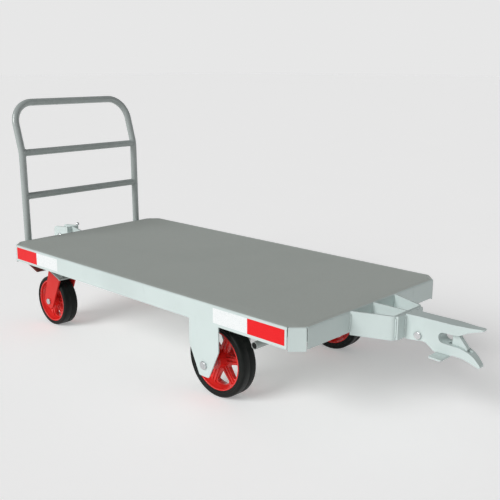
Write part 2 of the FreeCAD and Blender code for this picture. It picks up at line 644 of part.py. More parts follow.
# latch: lever under the pin seat, hinged behind it, with a nose that closes the mouth
lx, lz = front_x + 44, sz - 12
lh = latch_thickness / 2
nose_in, nose_top = sx + 22, upper_lip - 0.8
latch = plate_xz([(lx - 26, lz + 12, 5), (lx, lz + 13, 8), (lx + 22, lz - 8, 14),
                  (sx + 10, lower_lip - 10, 10), (nose_in, lower_lip, 6), (nose_in, nose_top - 2, 9),
                  (nose_in + 17, nose_top, 4),
                  (nose_in + 0.42 * mouth, lower_lip - 6, 5), (nose_in + 0.34 * mouth, lower_lip - 22, 10),
                  (sx + 14, lower_lip - 24, 20), (sx - 6, lower_lip - 29, 12), (sx - 34, lower_lip - 25, 20),
                  (lx, lz - 13, 13),
                  (lx - 26, lz - 4, 5)], hitch_y - lh, hitch_y + lh)
tab_x0, tab_x1 = sx - 22, sx + 22
tab_z = lower_lip - 33.5
latch = latch.fuse(box(tab_x0 + 3, tab_x1 - 3, hitch_y - lh, hitch_y + lh, tab_z - 5, lower_lip - 19.5))
tab = plate_xy([(tab_x0, hitch_y + lh), (tab_x0, hitch_y - 71, 6), (tab_x1, hitch_y - 75, 6),
                (tab_x1, hitch_y + lh)], tab_z - 5, tab_z)
latch = latch.fuse(tab)
pin_ends = V(lx, hitch_y - 80, lz), V(lx, hitch_y + 80, lz)
pin_hole = rod(*pin_ends, latch_pin_r)
latch = latch.cut(rod(*pin_ends, latch_pin_r + running)).removeSplitter()
cavity = plate_xz([(lx - 34, -150), (lx - 34, -17), (lx - 12, -17, 4), (lx + 24, lz + 22, 20),
                   (sx - 24, lower_lip - 3, 10), (sx + 10, lower_lip - 3), (sx + 10, lower_lip + 4),
                   (nose_in + mouth / 2, lower_lip + 4), (nose_in + mouth / 2, -150)],
                  hitch_y - lh - latch_side_gap, hitch_y + lh + latch_side_gap)
tab_notch = box(tab_x0 - 1.5, tab_x1 + 1.5, hitch_y - 90, hitch_y, -150, tab_z + latch_side_gap)
jaw = jaw.cut(cavity).cut(pin_hole).cut(tab_notch).removeSplitter()
save("tow_jaw", jaw)
save("jaw_latch", latch)
head_y = hitch_y - jaw_root / 2
latch_pin = rod(V(lx, head_y, lz), V(lx, hitch_y + jaw_root / 2 + 3, lz), latch_pin_r)
cap = rod(V(lx, head_y - 4, lz), V(lx, head_y, lz), 12)
cap = cap.makeFillet(1.5, [e for e in cap.Edges if abs(e.BoundBox.YMax - head_y + 4) < 1e-3])
ring = rod(V(lx, hitch_y + jaw_root / 2, lz), V(lx, hitch_y + jaw_root / 2 + 4, lz), 12)
save("latch_pin", latch_pin.fuse([cap, ring]).removeSplitter())
spring_x = lx - 20
spring_bottom = lz + 12.6
pitch = (spring_top - spring_bottom - 2 * wire_r) / spring_turns
helix = Part.makeHelix(pitch, pitch * spring_turns, spring_r)
wire_section = Part.Wire([Part.makeCircle(wire_r, V(spring_r, 0, 0), Y)])
coil = Part.Wire(helix.Edges).makePipeShell([wire_section], True, True)
save("latch_spring", moved(coil, spring_x, hitch_y, spring_bottom + wire_r))

# ---------------------------------------------------------------- rear receiver
ry = receiver_width / 2
wx = -half_l - receiver_web                              # front face of the web
cheek_side = [(wx, 2, 3), (rear_x + 2, -8, 16), (rear_x, -88, 10), (wx, -88)]
receiver = plate_xz(cheek_side, hitch_y - ry, hitch_y - ry + receiver_plate)
receiver = receiver.fuse([plate_xz(cheek_side, hitch_y + ry - receiver_plate, hitch_y + ry),
                          box(wx - receiver_plate, wx, hitch_y - ry, hitch_y + ry, -88, 0)])
gusset = [(-half_l, -14), (wx - 2, 2), (wx - 2, -88), (-half_l, -66)]
receiver = receiver.fuse(plate_xz(gusset, hitch_y - 4, hitch_y + 4))
foot = plate_yz([(hitch_y - 60, -64, 8), (hitch_y + 60, -64, 8), (hitch_y + 60, -8, 8),
                 (hitch_y - 60, -8, 8)], -half_l - receiver_plate, -half_l)
receiver = receiver.fuse(foot)
px, pz, pr = -half_l - pin_x, jaw_slot_z, pin_dia / 2
receiver = receiver.cut(rod(V(px, -100, pz), V(px, 100, pz), pr + running)).removeSplitter()
save("rear_receiver", receiver)

# coupling pin: bar through both cheeks with a lever handle and ball at its outer end
end_y = hitch_y + ry
pin = rod(V(px, hitch_y - ry - 8, pz), V(px, end_y + 10, pz), pr)
nib = pin.makeChamfer(3, [e for e in pin.Edges if abs(e.BoundBox.YMax - hitch_y + ry + 8) < 1e-3])
flange = rod(V(px, end_y + gap, pz), V(px, end_y + 10, pz), pr + 4)
grip_a, grip_b = V(px, end_y + 6, pz), V(px + 44, end_y + 10, 4)
grip = rod(grip_a, grip_b, 4)
ball = Part.makeSphere(7.5, grip_b)
save("coupling_pin", nib.fuse([flange, grip, ball]).removeSplitter())

# ---------------------------------------------------------------- reflective tape
red, white = [], []
for s in (-1, 1):
    y0, y1 = sorted((s * half_w, s * (half_w + tape_thickness)))
    band = (y0, y1, -tape_drop - tape_height, -tape_drop)
    for end in (-1, 1):                                  # red next to the deck's end, white inboard
        marks = [end * (half_l - tape_setback - i * tape_length) for i in range(3)]
        red.append(box(*sorted(marks[:2]), *band))
        white.append(box(*sorted(marks[1:]), *band))
save("tape_red", *red)
save("tape_white", *white)

for label, point in (("castor pivot", pivot), ("castor axle", cx), ("pedal pin", lug_axis),
                     ("front axle", V(fixed_axle_x, wheel_y, fixed_axle_z)),
                     ("latch pin", V(lx, hitch_y, lz)), ("pin seat", V(sx, hitch_y, sz)),
                     ("coupling pin", V(px, hitch_y, pz)), ("spring top", V(spring_x, hitch_y, spring_top))):
    print(label, point + shift)
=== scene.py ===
import json
import math

import bmesh
import bpy
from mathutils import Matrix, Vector, noise


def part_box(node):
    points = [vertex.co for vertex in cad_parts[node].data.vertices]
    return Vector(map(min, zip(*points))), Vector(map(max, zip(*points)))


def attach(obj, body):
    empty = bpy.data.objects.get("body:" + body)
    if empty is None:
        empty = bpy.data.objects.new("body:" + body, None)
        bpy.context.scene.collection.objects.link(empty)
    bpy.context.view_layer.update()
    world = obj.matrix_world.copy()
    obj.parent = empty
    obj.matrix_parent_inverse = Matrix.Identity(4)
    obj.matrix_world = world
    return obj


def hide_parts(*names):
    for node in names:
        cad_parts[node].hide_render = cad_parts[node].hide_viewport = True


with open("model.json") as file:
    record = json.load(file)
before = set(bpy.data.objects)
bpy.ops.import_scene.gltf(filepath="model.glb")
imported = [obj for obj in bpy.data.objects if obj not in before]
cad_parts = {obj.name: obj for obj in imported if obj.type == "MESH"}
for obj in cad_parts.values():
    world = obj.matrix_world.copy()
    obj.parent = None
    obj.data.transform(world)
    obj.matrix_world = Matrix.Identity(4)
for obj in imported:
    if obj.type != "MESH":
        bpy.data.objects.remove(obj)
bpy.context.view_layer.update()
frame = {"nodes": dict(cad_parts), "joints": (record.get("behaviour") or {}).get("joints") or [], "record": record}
nodes = frame["nodes"]
MM = 0.001
SIDES = (("left", 1), ("right", -1))     # and the sign of Y there

# ---------------------------------------------------------------- places taken from the frame


def centre(node):
    low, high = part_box(node)
    return (low + high) / 2


deck_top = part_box("deck_sheet")[1].z
skirt_low, skirt_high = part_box("front_skirt")
rear_low, rear_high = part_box("rear_skirt")
bracket_low, bracket_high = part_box("hitch_bracket")
divider_low, divider_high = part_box("hitch_divider")
adapter_low, adapter_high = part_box("adapter_plate")
hitch_y = centre("hitch_divider").y


# ---------------------------------------------------------------- shader building blocks
EDGE_STARTS, EDGE_FULL = 0.995, 0.80     # agreement of the true and the rounded normal
LEVEL_STARTS, LEVEL_FULL = 0.86, 0.97    # upward part of the normal


class Shader:
    """A material with a Principled BSDF and short calls for the nodes around it."""

    def __init__(self, name, roughness=0.5, metallic=0.0, coat=0.0, coat_roughness=0.1, specular=0.5):
        self.mat = bpy.data.materials.new(name)
        self.mat.use_nodes = True
        self.tree = self.mat.node_tree
        self.bsdf = self.tree.nodes["Principled BSDF"]
        self.bsdf.inputs["Roughness"].default_value = roughness
        self.bsdf.inputs["Metallic"].default_value = metallic
        self.bsdf.inputs["Coat Weight"].default_value = coat
        self.bsdf.inputs["Coat Roughness"].default_value = coat_roughness
        self.bsdf.inputs["Specular IOR Level"].default_value = specular
        self.place = self.add("ShaderNodeTexCoord").outputs["Object"]

    def add(self, kind, **settings):
        node = self.tree.nodes.new(kind)
        for key, value in settings.items():
            setattr(node, key, value)
        return node

    def link(self, a, b):
        self.tree.links.new(a, b)

    def noise(self, scale, detail=3.0, stretch=(1, 1, 1)):
        mapping = self.add("ShaderNodeMapping")
        mapping.inputs["Scale"].default_value = stretch
        self.link(self.place, mapping.inputs["Vector"])
        tex = self.add("ShaderNodeTexNoise")
        tex.inputs["Scale"].default_value = scale
        tex.inputs["Detail"].default_value = detail
        self.link(mapping.outputs["Vector"], tex.inputs["Vector"])
        return tex.outputs["Fac"]

    def cells(self, scale, feature="F1"):
        tex = self.add("ShaderNodeTexVoronoi", feature=feature)
        tex.inputs["Scale"].default_value = scale
        self.link(self.place, tex.inputs["Vector"])
        return tex.outputs["Distance"]

    def spread(self, value, low, high, out_low=0.0, out_high=1.0):
        """Map value from low..high onto out_low..out_high, smoothly and clamped."""
        node = self.add("ShaderNodeMapRange", interpolation_type="SMOOTHSTEP")
        limits = {"From Min": low, "From Max": high, "To Min": out_low, "To Max": out_high}
        for name, number in limits.items():
            node.inputs[name].default_value = number
        self.link(value, node.inputs["Value"])
        return node.outputs["Result"]

    def math(self, operation, a, b=None):
        node = self.add("ShaderNodeMath", operation=operation)
        for socket, value in zip(node.inputs, (a, b)):
            if isinstance(value, (int, float)):
                socket.default_value = value
            elif value is not None:
                self.link(value, socket)
        return node.outputs["Value"]

    def blend(self, fac, a, b):
        """Colour a where fac is 0 and b where it is 1."""
        node = self.add("ShaderNodeMix", data_type="RGBA")
        self.link(fac, node.inputs["Factor"])
        for socket, colour in ((node.inputs[6], a), (node.inputs[7], b)):
            if isinstance(colour, tuple):
                socket.default_value = (*colour, 1.0)
            else:
                self.link(colour, socket)
        return node.outputs[2]

    def edges(self, radius):
        """About 0 on flats, rising to 1 along sharp outside edges."""
        bevel = self.add("ShaderNodeBevel", samples=4)
        bevel.inputs["Radius"].default_value = radius
        geometry = self.add("ShaderNodeNewGeometry")
        dot = self.add("ShaderNodeVectorMath", operation="DOT_PRODUCT")
        self.link(bevel.outputs["Normal"], dot.inputs[0])
        self.link(geometry.outputs["Normal"], dot.inputs[1])
        return self.spread(dot.outputs["Value"], EDGE_STARTS, EDGE_FULL)

    def facing_up(self):
        """1 on level tops, 0 on slopes and walls."""
        parts = self.add("ShaderNodeSeparateXYZ")
        self.link(self.add("ShaderNodeNewGeometry").outputs["Normal"], parts.inputs["Vector"])
        return self.spread(parts.outputs["Z"], LEVEL_STARTS, LEVEL_FULL)

    def bump(self, height, distance, strength=1.0, rounding=0.0):
        node = self.add("ShaderNodeBump")
        node.inputs["Distance"].default_value = distance
        node.inputs["Strength"].default_value = strength
        self.link(height, node.inputs["Height"])
        if rounding:
            bevel = self.add("ShaderNodeBevel", samples=4)
            bevel.inputs["Radius"].default_value = rounding
            self.link(bevel.outputs["Normal"], node.inputs["Normal"])
        self.link(node.outputs["Normal"], self.bsdf.inputs["Normal"])

    def colour(self, socket):
        self.link(socket, self.bsdf.inputs["Base Color"])

    def rough(self, socket):
        self.link(socket, self.bsdf.inputs["Roughness"])


# ---------------------------------------------------------------- materials
PAINT_DRIFT = 0.06           # share by which the shade of a coat wanders
SCUFF_DEPTH = 0.22
PAINT_EDGE = 1.2 * MM        # rounding that sprayed edges show

PAINT_LIGHT = (0.565, 0.645, 0.63)
# Paler tone that the light paint's edges lighten to: chipped paint and painted edge highlight
PAINT_LIGHT_CHIP_AND_HIGHLIGHT = (0.80, 0.86, 0.85)
# Grey for level tops, darker than the skirt paint: painted shade, as the tops get less light than the lit sides
SHADED_TOP_GREY = (0.46, 0.495, 0.465)
FRAME_GREY = (0.36, 0.39, 0.38)
# Grey for the handle tubes, darker than the light paint they carry: painted shade for the bars' tops and fronts
TUBE_SHADED_GREY = (0.37, 0.41, 0.40)
RIM_RED = (0.70, 0.022, 0.018)
FORK_RED = (0.60, 0.022, 0.018)
FORK_WELD_RED = (0.58, 0.022, 0.018)
# Fork red darkened for the brake pedals: painted shade, for the shadow they sit in under the deck
PEDAL_RED_SHADED = (0.20, 0.050, 0.038)
TYRE_BLACK = (0.009, 0.011, 0.010)
TYRE_DUST = (0.034, 0.033, 0.030)


def scaled(colour, k):
    return tuple(min(1.0, c * k) for c in colour)


def painted(name, base, chip_and_highlight, roughness, coat=0.0, peel=0.6, wear_and_highlight=0.5, shaded_top=None, specular=0.5):
    """Sprayed paint: orange peel, slight drift in tone, handling scuffs, edges lightened towards a paler tone
    (partly worn paint, partly painted highlight) and, where asked, level tops greyed as painted shade.
    """
    s = Shader(name, coat=coat, coat_roughness=0.12, specular=specular)
    drift = s.spread(s.noise(scale=2.6, detail=4.0), 0.3, 0.7)
    tone = s.blend(drift, scaled(base, 1.0 - PAINT_DRIFT), scaled(base, 1.0 + PAINT_DRIFT))
    scuff = s.spread(s.noise(scale=38.0, detail=6.0, stretch=(1.0, 1.0, 0.35)), 0.60, 0.78)
    tone = s.blend(s.math("MULTIPLY", scuff, SCUFF_DEPTH), tone, scaled(base, 0.72))
    patchy = s.spread(s.noise(scale=55.0, detail=5.0), 0.42, 0.62)
    # Sharp edges lighten in patches towards the paler tone: partly worn paint, partly a painted highlight.
    edge = s.math("MULTIPLY", s.edges(PAINT_EDGE), patchy)
    tone = s.blend(s.math("MULTIPLY", edge, wear_and_highlight), tone, chip_and_highlight)
    # Level tops blend to the darker top grey: painted shade, the tops being less lit than the sides.
    s.colour(s.blend(s.facing_up(), tone, shaded_top) if shaded_top else tone)
    gloss = s.noise(scale=21.0, detail=5.0)
    s.rough(s.spread(gloss, 0.3, 0.72, roughness - 0.07, roughness + 0.10))
    s.bump(s.noise(scale=420.0, detail=2.0), 0.12 * MM, peel, PAINT_EDGE)
    return s.mat


def deck_coating(name, base):
    """Matt anti-slip coating: fine grit, faint rolling marks along the deck."""
    s = Shader(name, specular=0.35)
    grit = s.noise(scale=900.0, detail=2.0)
    tone = s.blend(s.spread(grit, 0.35, 0.65), scaled(base, 0.88), scaled(base, 1.12))
    drift = s.spread(s.noise(scale=2.2, detail=5.0), 0.3, 0.7)
    tone = s.blend(s.math("MULTIPLY", drift, 0.35), tone, scaled(base, 0.93))
    lane = s.spread(s.noise(scale=9.0, detail=4.0, stretch=(0.12, 1.0, 1.0)), 0.62, 0.75)
    tone = s.blend(s.math("MULTIPLY", lane, 0.16), tone, scaled(base, 1.25))
    s.colour(tone)
    s.rough(s.spread(drift, 0.0, 1.0, 0.52, 0.66))
    s.bump(grit, 0.35 * MM, 0.8)
    return s.mat


def rubber(name, base, dust):
    """Solid rubber: matt, with a little dust in the pores."""
    s = Shader(name, specular=0.14)
    pores = s.noise(scale=260.0, detail=4.0)
    dusty = s.spread(s.noise(scale=14.0, detail=6.0), 0.50, 0.80)
    s.colour(s.blend(s.math("MULTIPLY", dusty, 0.30), base, dust))
    s.rough(s.spread(dusty, 0.0, 1.0, 0.42, 0.66))
    s.bump(pores, 0.15 * MM, 0.5, 1.0 * MM)
    return s.mat


def plated(name, base, roughness):
    """Zinc plated or bare steel: spangle, fine grain, slightly dull patches."""
    s = Shader(name, metallic=1.0)
    tone = s.blend(s.spread(s.cells(220.0), 0.0, 0.8), scaled(base, 1.06), scaled(base, 0.90))
    patch = s.spread(s.noise(scale=24.0, detail=5.0), 0.45, 0.70)
    s.colour(s.blend(s.math("MULTIPLY", patch, 0.35), tone, scaled(base, 0.78)))
    s.rough(s.spread(patch, 0.0, 1.0, roughness, roughness + 0.16))
    s.bump(s.noise(scale=160.0, detail=3.0), 0.08 * MM, 0.5, 0.8 * MM)
    return s.mat


def tape(name, base, cell):
    """Retro-reflective tape: honeycomb of glass beads under a clear film."""
    s = Shader(name, roughness=0.45, coat=0.08, coat_roughness=0.15, specular=0.2)
    comb = s.spread(s.cells(310.0, "DISTANCE_TO_EDGE"), 0.02, 0.12)
    tone = s.blend(comb, cell, base)
    handled = s.math("MULTIPLY", s.spread(s.noise(scale=30.0, detail=5.0), 0.5, 0.8), 0.10)
    s.colour(s.blend(handled, tone, scaled(base, 0.8)))
    s.bump(comb, 0.05 * MM, 0.5)
    return s.mat


def weld(name, base):
    """Painted weld bead."""
    s = Shader(name, roughness=0.42)
    uneven = s.spread(s.noise(scale=140.0, detail=4.0), 0.3, 0.7)
    s.colour(s.blend(uneven, scaled(base, 0.90), scaled(base, 1.03)))
    s.bump(s.noise(scale=300.0, detail=2.0), 0.2 * MM, 0.6)
    return s.mat


# The second colour of each painted finish is the paler tone its edges lighten to, partly wear and partly painted
# highlight.
mats = {
    # the deck sheet takes the darker top grey as painted shade; its grit and rolling marks are the coating's own
    "deck_paint": deck_coating("deck_coating", SHADED_TOP_GREY),
    # the skirts' level tops and lips blend to the darker top grey as painted shade
    "skirt_paint": painted("skirt_paint", PAINT_LIGHT, PAINT_LIGHT_CHIP_AND_HIGHLIGHT, 0.36, shaded_top=SHADED_TOP_GREY),
    "frame_paint": painted("frame_paint", FRAME_GREY, (0.46, 0.48, 0.47), 0.48),
    "rim_red": painted("rim_red", RIM_RED, (0.88, 0.12, 0.09), 0.30, coat=0.2, wear_and_highlight=0.8),
    "tyre": rubber("tyre_rubber", TYRE_BLACK, TYRE_DUST),
    "fork_red": painted("fork_red", FORK_RED, (0.80, 0.10, 0.08), 0.40, wear_and_highlight=0.6, specular=0.2),
    "zinc": plated("zinc_plate", (0.66, 0.68, 0.69), 0.30),
    # the handle tubes take the darkened grey as painted shade
    "tube_silver": painted("tube_silver", TUBE_SHADED_GREY, (0.54, 0.58, 0.57), 0.26, coat=0.3),
    "hitch_paint": painted("hitch_paint", PAINT_LIGHT, PAINT_LIGHT_CHIP_AND_HIGHLIGHT, 0.34, peel=0.9),
    "chrome": plated("chrome_plate", (0.80, 0.81, 0.82), 0.10),
    "spring_steel": plated("spring_steel", (0.40, 0.40, 0.41), 0.28),
    "tape_red": tape("tape_red_film", (0.74, 0.004, 0.008), (0.80, 0.012, 0.014)),
    "tape_white": tape("tape_white_film", (0.84, 0.86, 0.86), (0.66, 0.70, 0.70)),
}
weld_light = weld("weld_light", PAINT_LIGHT)
# The tube welds take the same darkened grey, painted shade.
weld_tube_shaded = weld("weld_tube_shaded", TUBE_SHADED_GREY)
weld_red = weld("weld_red", FORK_WELD_RED)
weld_grey = weld("weld_grey", FRAME_GREY)
# Darkened red for the brake pedals and their grip bars: painted shade of the deck's shadow
shaded_pedal_red = painted("shaded_pedal_red", PEDAL_RED_SHADED, (0.42, 0.30, 0.28), 0.50, specular=0.3)

slots = {part["node"]: part["material_slot"] for part in frame["record"]["subparts"]}
for name, obj in nodes.items():
    obj.data.materials.clear()
    # The brake pedals take the darkened red, painted shade, in place of their slot's material.
    obj.data.materials.append(shaded_pedal_red if name.startswith("brake_pedal") else mats[slots[name]])


# ---------------------------------------------------------------- mesh building blocks
def mesh_piece(name, verts, faces, material, body, smooth=True):
    mesh = bpy.data.meshes.new(name)
    mesh.from_pydata([tuple(v) for v in verts], [], faces)
    bm = bmesh.new()
    bm.from_mesh(mesh)
    bmesh.ops.recalc_face_normals(bm, faces=bm.faces)
    bm.to_mesh(mesh)
    bm.free()
    for polygon in mesh.polygons:
        polygon.use_smooth = smooth
    mesh.materials.append(material)
    obj = bpy.data.objects.new(name, mesh)
    bpy.context.scene.collection.objects.link(obj)
    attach(obj, body)
    return obj


def strips(rings, points, ends_meet=False, ring_closed=True):
    """Faces between each ring of points and the next."""
    faces = []
    for i in range(rings if ends_meet else rings - 1):
        a, b = i * points, (i + 1) % rings * points
        for k in range(points if ring_closed else points - 1):
            faces.append((a + k, a + (k + 1) % points, b + (k + 1) % points, b + k))
    return faces


def end_caps(rings, points):
    return [tuple(reversed(range(points))), tuple((rings - 1) * points + k for k in range(points))]


def joined(parts):
    """The vertices and the faces of several meshes as one."""
    verts, faces = [], []
    for part_verts, part_faces in parts:
        faces += [tuple(i + len(verts) for i in face) for face in part_faces]
        verts += part_verts
    return verts, faces


BEAD_SIDES = 8
BEAD_STEP = 0.9 * MM         # between two rings of a weld bead
RIPPLE_PITCH = 3.2 * MM
RIPPLE, UNEVEN = 0.16, 0.12  # shares of the bead's radius
UNEVEN_SCALE = 220
OFF_AXIS = Vector((0.31, 0.47, 0.83))    # along no edge of the cart, so it never lies along a bead


def bead_mesh(path, radius, closed=False):
    """Vertices and faces of one rippled weld bead along a path."""
    points = [Vector(p) for p in path]
    spine = []
    for a, b in zip(points, points[1:] + (points[:1] if closed else [])):
        count = max(1, round((b - a).length / BEAD_STEP))
        spine += [a.lerp(b, i / count) for i in range(count)]
    if not closed:
        spine.append(points[-1])
    verts = []
    total = len(spine)
    travelled = 0.0
    for i, p in enumerate(spine):
        before = spine[i - 1] if i or closed else p
        after = spine[(i + 1) % total] if i + 1 < total or closed else p
        along = (after - before).normalized()
        side = along.cross(OFF_AXIS).normalized()
        up = along.cross(side)
        wave = RIPPLE * math.cos(math.tau * travelled / RIPPLE_PITCH)
        ripple = 1.0 + wave + UNEVEN * noise.noise(p * UNEVEN_SCALE)
        end = 1.0 if closed else min(1.0, 0.25 + 0.3 * min(i, total - 1 - i))
        for k in range(BEAD_SIDES):
            turn = math.tau * k / BEAD_SIDES
            verts.append(p + (side * math.cos(turn) + up * math.sin(turn)) * (radius * ripple * end))
        travelled += (after - p).length
    return verts, strips(total, BEAD_SIDES, closed) + ([] if closed else end_caps(total, BEAD_SIDES))


def welds(name, paths, radius, material, body, closed=False):
    """All beads of one joint as one piece."""
    verts, faces = joined([bead_mesh(path, radius, closed) for path in paths])
    return mesh_piece(name, verts, faces, material, body)


def revolve(name, profile, origin, steps, material, body):
    """Closed ring turned about the Y axis through origin, from (radius, y) points."""
    verts = []
    for i in range(steps):
        turn = math.tau * i / steps
        for r, y in profile:
            verts.append(origin + Vector((r * math.cos(turn), y, r * math.sin(turn))))
    return mesh_piece(name, verts, strips(steps, len(profile), ends_meet=True), material, body)


# ---------------------------------------------------------------- tyres with moulded side walls
def arc(cx, cy, r, start, end, steps):
    turns = [math.radians(start + (end - start) * i / steps) for i in range(steps + 1)]
    return [(cx + r * math.cos(t), cy + r * math.sin(t)) for t in turns]


TYRE_STEPS = 128
TYRE_FIT = 0.2 * MM          # over the rim
SHOULDER = 9 * MM            # radius from the side wall to the tread
RIDGE = 0.9 * MM             # height of the moulded rings on the side wall
LIP = 3 * MM                 # flat lip against the rim
GROOVE_HALF, GROOVE_DEPTH = 1.0 * MM, 0.4 * MM       # mould line round the middle of the tread
# the side wall between lip and shoulder: share of its height, and rise in ridges
SIDE_WALL = ((0.10, 0), (0.16, 1), (0.30, 1), (0.36, 0), (0.78, 0), (0.82, 1), (0.92, 1), (1.0, 0.2))


def tyre(node, rim_node, body):
    """Solid tyre with moulded rings on its side walls and a mould line on its tread."""
    low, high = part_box(node)
    half = (high.y - low.y) / 2
    outer = (high.z - low.z) / 2
    rim_low, rim_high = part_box(rim_node)
    inner = (rim_high.z - rim_low.z) / 2 + TYRE_FIT
    lip_r = inner + LIP
    wall = half - RIDGE
    side = [(inner, half - 2.0 * MM), (inner + 1 * MM, half - 0.8 * MM), (lip_r, wall)]
    span = outer - SHOULDER - lip_r
    side += [(lip_r + span * share, wall + RIDGE * rise) for share, rise in SIDE_WALL]
    side += arc(outer - SHOULDER, half - SHOULDER, SHOULDER, 84, 0, 9)
    tread = [(outer, half - 14 * MM), (outer, GROOVE_HALF), (outer - GROOVE_DEPTH, GROOVE_HALF / 2)]
    right = side + tread
    left = [(r, -y) for r, y in reversed(right)]
    origin = (low + high) / 2
    obj = revolve(node + "_moulded", right + left, origin, TYRE_STEPS, mats["tyre"], body)
    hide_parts(node)


for side in ("left", "right"):
    tyre("front_tyre_" + side, "front_rim_" + side, "front_wheel_" + side)
    tyre("castor_tyre_" + side, "castor_rim_" + side, "castor_wheel_" + side)

# ---------------------------------------------------------------- weld beads
# radii of the beads
SADDLE_BEAD = 1.9 * MM
BRACKET_BEAD = 3.0 * MM
DIVIDER_BEAD = 2.4 * MM
ADAPTER_BEAD = 2.6 * MM
JAW_BEAD = 3.2 * MM
RECEIVER_BEAD = 2.4 * MM
INNER_BRACKET_BEAD = 2.4 * MM
FORK_BEAD = 1.8 * MM
SIT = 1 * MM                 # from a plate's face to the middle line of the bead beside it

SADDLE_STEPS = 28
# the rear receiver: half its gusset's thickness, half its foot's width, and the foot's thickness
GUSSET_HALF = 4 * MM
FOOT_HALF = 60 * MM
FOOT_PLATE = 8 * MM

hoop_low, hoop_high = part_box("handle_hoop")
tube_r = 15 * MM
upright_y = hoop_high.y - tube_r


def saddle(bar, y_side):
    """Closed path where a cross bar meets the upright tube."""
    c = centre(bar)
    low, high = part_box(bar)
    r = (high.z - low.z) / 2
    path = []
    for i in range(SADDLE_STEPS):
        t = math.tau * i / SADDLE_STEPS
        x, z = r * math.cos(t), r * math.sin(t)
        inward = math.sqrt(max(0.0, tube_r ** 2 - min(x * x, tube_r ** 2)))
        path.append((c.x + x, y_side * (upright_y - inward), c.z + z))
    return path


def upright_line(x, y, z0, z1):
    return [(x, y, z0), (x, y, z1)]


for bar in ("handle_bar_lower", "handle_bar_upper"):
    for side, s in SIDES:
        welds("weld_" + bar + "_" + side, [saddle(bar, s)], SADDLE_BEAD, weld_tube_shaded, "chassis",
              closed=True)


def hitch_weld(name, lines, radius):
    welds(name, lines, radius, weld_light, "chassis")


# hitch bracket and its divider to the front skirt
skirt_face = skirt_high.x
weld_foot = skirt_low.z + 4 * MM
weld_head = skirt_high.z - 7 * MM
bracket_lines = [upright_line(skirt_face + SIT, y, weld_foot, weld_head)
                 for y in (bracket_low.y - SIT, bracket_high.y + SIT)]
hitch_weld("weld_hitch_bracket", bracket_lines, BRACKET_BEAD)
divider_sit = 1.5 * SIT
divider_ends = ((skirt_face, 1), (divider_high.x, -1))
divider_sides = (divider_low.y - divider_sit, divider_high.y + divider_sit)
divider_lines = [upright_line(x + way * divider_sit, y, weld_foot, weld_head)
                 for x, way in divider_ends for y in divider_sides]
hitch_weld("weld_hitch_divider", divider_lines, DIVIDER_BEAD)

# adapter plate to the bracket, jaw to the adapter plate
adapter_lines = [upright_line(adapter_low.x + SIT, y, adapter_low.z + 6 * MM, adapter_high.z - 6 * MM)
                 for y in (adapter_low.y - SIT, adapter_high.y + SIT)]
hitch_weld("weld_adapter_plate", adapter_lines, ADAPTER_BEAD)
jaw_low, jaw_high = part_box("tow_jaw")
jaw_lines = [upright_line(adapter_high.x + SIT, y, adapter_low.z + 2 * MM, adapter_high.z - 3 * MM)
             for y in (jaw_low.y - SIT, jaw_high.y + SIT)]
hitch_weld("weld_jaw_root", jaw_lines, JAW_BEAD)

# rear receiver's gusset and foot
receiver_low, receiver_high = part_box("rear_receiver")
foot_face = receiver_high.x - FOOT_PLATE
gusset_lines = [upright_line(foot_face - SIT, hitch_y + s * (GUSSET_HALF + SIT),
                             receiver_low.z + 36 * MM, receiver_high.z - 24 * MM) for s in (-1, 1)]
foot_lines = [upright_line(rear_low.x - SIT, hitch_y + s * (FOOT_HALF + SIT / 2),
                           rear_low.z + 14 * MM, rear_high.z - 18 * MM) for s in (-1, 1)]
hitch_weld("weld_rear_receiver", gusset_lines + foot_lines, RECEIVER_BEAD)

# inner wheel brackets to the frame rails
for side, s in SIDES:
    rail_low, rail_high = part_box("frame_rail_" + side)
    inner_low, inner_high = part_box("inner_bracket_" + side)
    rail_y = rail_low.y if s > 0 else rail_high.y
    seam = [(x, rail_y + s * SIT, rail_low.z - SIT) for x in (inner_low.x + 6 * MM, inner_high.x - 6 * MM)]
    welds("weld_inner_bracket_" + side, [seam], INNER_BRACKET_BEAD, weld_grey, "chassis")

# ---------------------------------------------------------------- castor forks and brake pedals
joints = {joint["name"]: Vector(joint["pos_m"]) for joint in frame["joints"] if "pos_m" in joint}
CROWN_ABOVE_AXLE = 129 * MM
LEG_HALF_TOP = 38 * MM
CROWN_PLATE = 6 * MM
TREAD_RUN, TREAD_RISE = 67 * MM, 23 * MM     # slope of the pedal's tread plate
TREAD_PLATE = 5 * MM
TREAD_BELOW_PIVOT = 12 * MM  # underside of the plate's outer edge
GRIP_REACHES = (10 * MM, 20 * MM, 30 * MM)   # from the plate's outer edge
GRIP_MARGIN = 8 * MM         # bare plate beside each grip bar
GRIP_R = 1.6 * MM
GRIP_SIDES, GRIP_END_STEPS = 10, 6


def fork_welds(side):
    """Beads along the outer edges of the crown, where it sits on the legs."""
    swivel, axle = joints["castor_%s_swivel" % side], joints["castor_wheel_%s_spin" % side]
    fork_low, fork_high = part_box("castor_fork_" + side)
    crown = Vector((swivel.x, swivel.y, axle.z + CROWN_ABOVE_AXLE))
    lean = math.atan2(swivel.x - axle.x, CROWN_ABOVE_AXLE)
    along = Vector((math.cos(lean), 0, -math.sin(lean)))
    down = Vector((-math.sin(lean), 0, -math.cos(lean)))
    lines = []
    for y in (fork_low.y, fork_high.y):
        foot = Vector((crown.x, y, crown.z)) + down * CROWN_PLATE
        lines.append([foot - along * LEG_HALF_TOP, foot + along * LEG_HALF_TOP])
    welds("weld_fork_" + side, lines, FORK_BEAD, weld_red, "castor_" + side)


